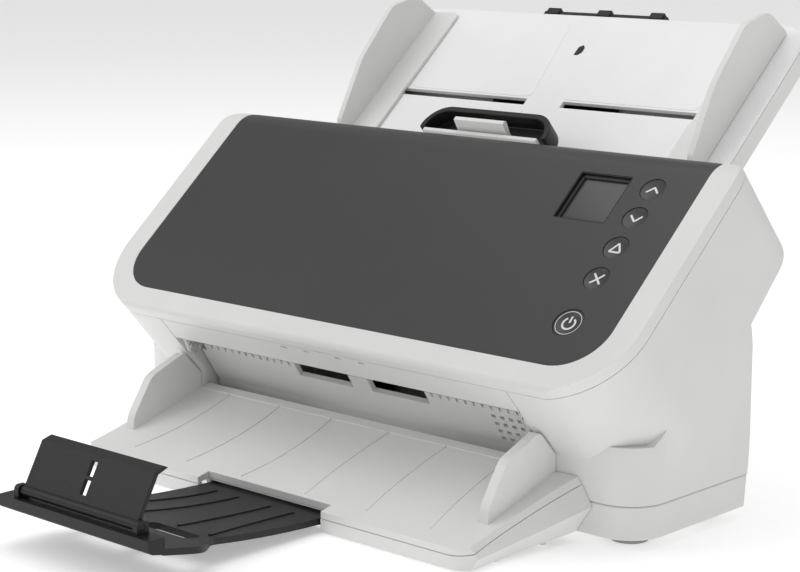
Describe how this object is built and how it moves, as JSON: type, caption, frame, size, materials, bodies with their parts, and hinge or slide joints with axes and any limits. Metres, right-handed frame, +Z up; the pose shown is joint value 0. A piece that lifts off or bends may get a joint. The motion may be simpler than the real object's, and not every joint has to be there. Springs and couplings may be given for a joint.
{
  "type": "sheet fed document scanner",
  "caption": "Desktop sheet fed document scanner with a leaning body, opening cover, geared paper guides and pull-out trays with a folding end stop.",
  "frame": {"origin": "on the resting plane under the feet, below the middle of the whole machine's outline", "axes": "+X to the machine's right as seen from its front, +Y to the rear, +Z up"},
  "size_m": [0.312, 0.3429, 0.2092],
  "materials": {
    "grey_plastic": "satin",
    "light_plastic": "satin",
    "dark_plastic": "satin",
    "panel_plastic": "satin",
    "button_plastic": "glossy",
    "rubber": "satin",
    "steel": "satin",
    "glass": "glossy",
    "display": "glossy",
    "board": "satin",
    "white_plastic": "satin"
  },
  "bodies": {
    "base": {"left_housing": "light_plastic", "right_housing": "light_plastic", "side_frames": "grey_plastic", "rear_cover": "light_plastic", "base_pan": "light_plastic", "rubber_feet": "rubber", "exit_panel": "light_plastic", "feed_deck": "light_plastic", "rear_scan_head": "dark_plastic", "rear_scan_glass": "glass", "roller_bushes": "white_plastic", "drive_motor": "steel", "main_board": "board", "power_inlet": "dark_plastic", "usb_port": "steel", "input_tray": "light_plastic", "input_tray_back": "light_plastic", "output_tray": "light_plastic", "output_tray_base": "light_plastic", "drive_belts": "rubber"},
    "cover": {"control_panel": "panel_plastic", "bezel": "light_plastic", "lower_strip": "light_plastic", "cover_frame": "light_plastic", "hinge_pins": "steel", "cover_back": "light_plastic", "handle_scoop": "dark_plastic", "panel_board": "board", "display_window": "glass", "display_module": "display", "front_scan_head": "dark_plastic", "front_scan_glass": "glass"},
    "release": {"release_paddle": "light_plastic", "latch_shaft": "steel", "latch_hooks": "steel"},
    "up_key": {"up_button": "button_plastic"},
    "down_key": {"down_button": "button_plastic"},
    "start_key": {"start_button": "button_plastic"},
    "stop_key": {"stop_button": "button_plastic"},
    "power_key": {"power_button": "button_plastic"},
    "exit_roller": {"exit_roller_shaft": "steel", "exit_roller_tyres": "rubber", "exit_pulley": "white_plastic"},
    "transport_roller": {"transport_roller_shaft": "steel", "transport_roller_tyres": "rubber", "transport_pulley": "white_plastic"},
    "feed_roller": {"feed_roller_shaft": "steel", "feed_roller_tyres": "rubber", "feed_pulley": "white_plastic"},
    "rotor": {"motor_rotor": "steel"},
    "exit_idle": {"exit_idler": "white_plastic"},
    "transport_idle": {"transport_idler": "white_plastic"},
    "separation_idle": {"separation_roller": "rubber"},
    "left_paper_guide": {"left_guide": "light_plastic"},
    "right_paper_guide": {"right_guide": "light_plastic"},
    "pinion": {"guide_pinion": "white_plastic"},
    "input_extension": {"input_extender": "dark_plastic"},
    "output_extension": {"output_extender": "dark_plastic"},
    "stop_flap": {"end_stop": "dark_plastic"}
  },
  "joints": [
    {"name": "cover_hinge", "type": "hinge", "parent": "base", "child": "cover", "pos_m": [0, -0.01382, 0.05056], "axis": [1, 0, 0], "range_deg": [0, 55]},
    {"name": "release_pivot", "type": "hinge", "parent": "cover", "child": "release", "pos_m": [0, 0.06241, 0.13431], "axis": [1, 0, 0], "range_deg": [0, 8], "stiffness_Nm_per_rad": 0.2},
    {"name": "exit_roller_spin", "type": "hinge", "parent": "base", "child": "exit_roller", "pos_m": [0, 0.00692, 0.05645], "axis": [1, 0, 0], "continuous": true},
    {"name": "transport_roller_spin", "type": "hinge", "parent": "base", "child": "transport_roller", "pos_m": [0, 0.03169, 0.07673], "axis": [1, 0, 0], "continuous": true},
    {"name": "feed_roller_spin", "type": "hinge", "parent": "base", "child": "feed_roller", "pos_m": [0, 0.06928, 0.10819], "axis": [1, 0, 0], "continuous": true},
    {"name": "motor_spin", "type": "hinge", "parent": "base", "child": "rotor", "pos_m": [0, 0.04336, 0.04206], "axis": [1, 0, 0], "continuous": true},
    {"name": "exit_idler_spin", "type": "hinge", "parent": "cover", "child": "exit_idle", "pos_m": [0, -0.00116, 0.06572], "axis": [1, 0, 0], "continuous": true},
    {"name": "transport_idler_spin", "type": "hinge", "parent": "cover", "child": "transport_idle", "pos_m": [0, 0.02295, 0.08675], "axis": [1, 0, 0], "continuous": true},
    {"name": "separation_spin", "type": "hinge", "parent": "cover", "child": "separation_idle", "pos_m": [0, 0.0579, 0.12123], "axis": [1, 0, 0], "continuous": true},
    {"name": "left_guide_slide", "type": "slide", "parent": "base", "child": "left_paper_guide", "axis": [1, 0, 0], "range_m": [0, 0.08]},
    {"name": "right_guide_slide", "type": "slide", "parent": "base", "child": "right_paper_guide", "axis": [-1, 0, 0], "range_m": [0, 0.08]},
    {"name": "pinion_spin", "type": "hinge", "parent": "base", "child": "pinion", "pos_m": [0, 0.12147, 0.16062], "axis": [0, -0.6574, 0.7536], "range_deg": [0, 572.96]},
    {"name": "input_extension_slide", "type": "slide", "parent": "base", "child": "input_extension", "axis": [0, 0.7536, 0.6574], "range_m": [0, 0.06]},
    {"name": "output_extension_slide", "type": "hinge", "parent": "base", "child": "output_extension", "pos_m": [0, -0.05289, 0.5634], "axis": [-1, 0, 0], "range_deg": [-6.14, 0]},
    {"name": "end_stop_hinge", "type": "hinge", "parent": "output_extension", "child": "stop_flap", "pos_m": [0, -0.16649, 0.0246], "axis": [-1, 0, 0], "range_deg": [0, 55]},
    {"name": "up_press", "type": "slide", "parent": "cover", "child": "up_key", "axis": [0, 0.6574, -0.7536], "range_m": [0, 0.0007], "stiffness_N_per_m": 1500},
    {"name": "down_press", "type": "slide", "parent": "cover", "child": "down_key", "axis": [0, 0.6574, -0.7536], "range_m": [0, 0.0007], "stiffness_N_per_m": 1500},
    {"name": "start_press", "type": "slide", "parent": "cover", "child": "start_key", "axis": [0, 0.6574, -0.7536], "range_m": [0, 0.0007], "stiffness_N_per_m": 1500},
    {"name": "stop_press", "type": "slide", "parent": "cover", "child": "stop_key", "axis": [0, 0.6574, -0.7536], "range_m": [0, 0.0007], "stiffness_N_per_m": 1500},
    {"name": "power_press", "type": "slide", "parent": "cover", "child": "power_key", "axis": [0, 0.6574, -0.7536], "range_m": [0, 0.0007], "stiffness_N_per_m": 1500}
  ],
  "couplings": [
    {"joint": "right_guide_slide", "follows": "left_guide_slide", "ratio": 1},
    {"joint": "pinion_spin", "follows": "left_guide_slide", "rad_per_m": 125},
    {"joint": "exit_roller_spin", "follows": "transport_roller_spin", "ratio": 1},
    {"joint": "feed_roller_spin", "follows": "transport_roller_spin", "ratio": 1},
    {"joint": "motor_spin", "follows": "transport_roller_spin", "ratio": 1.4}
  ]
}
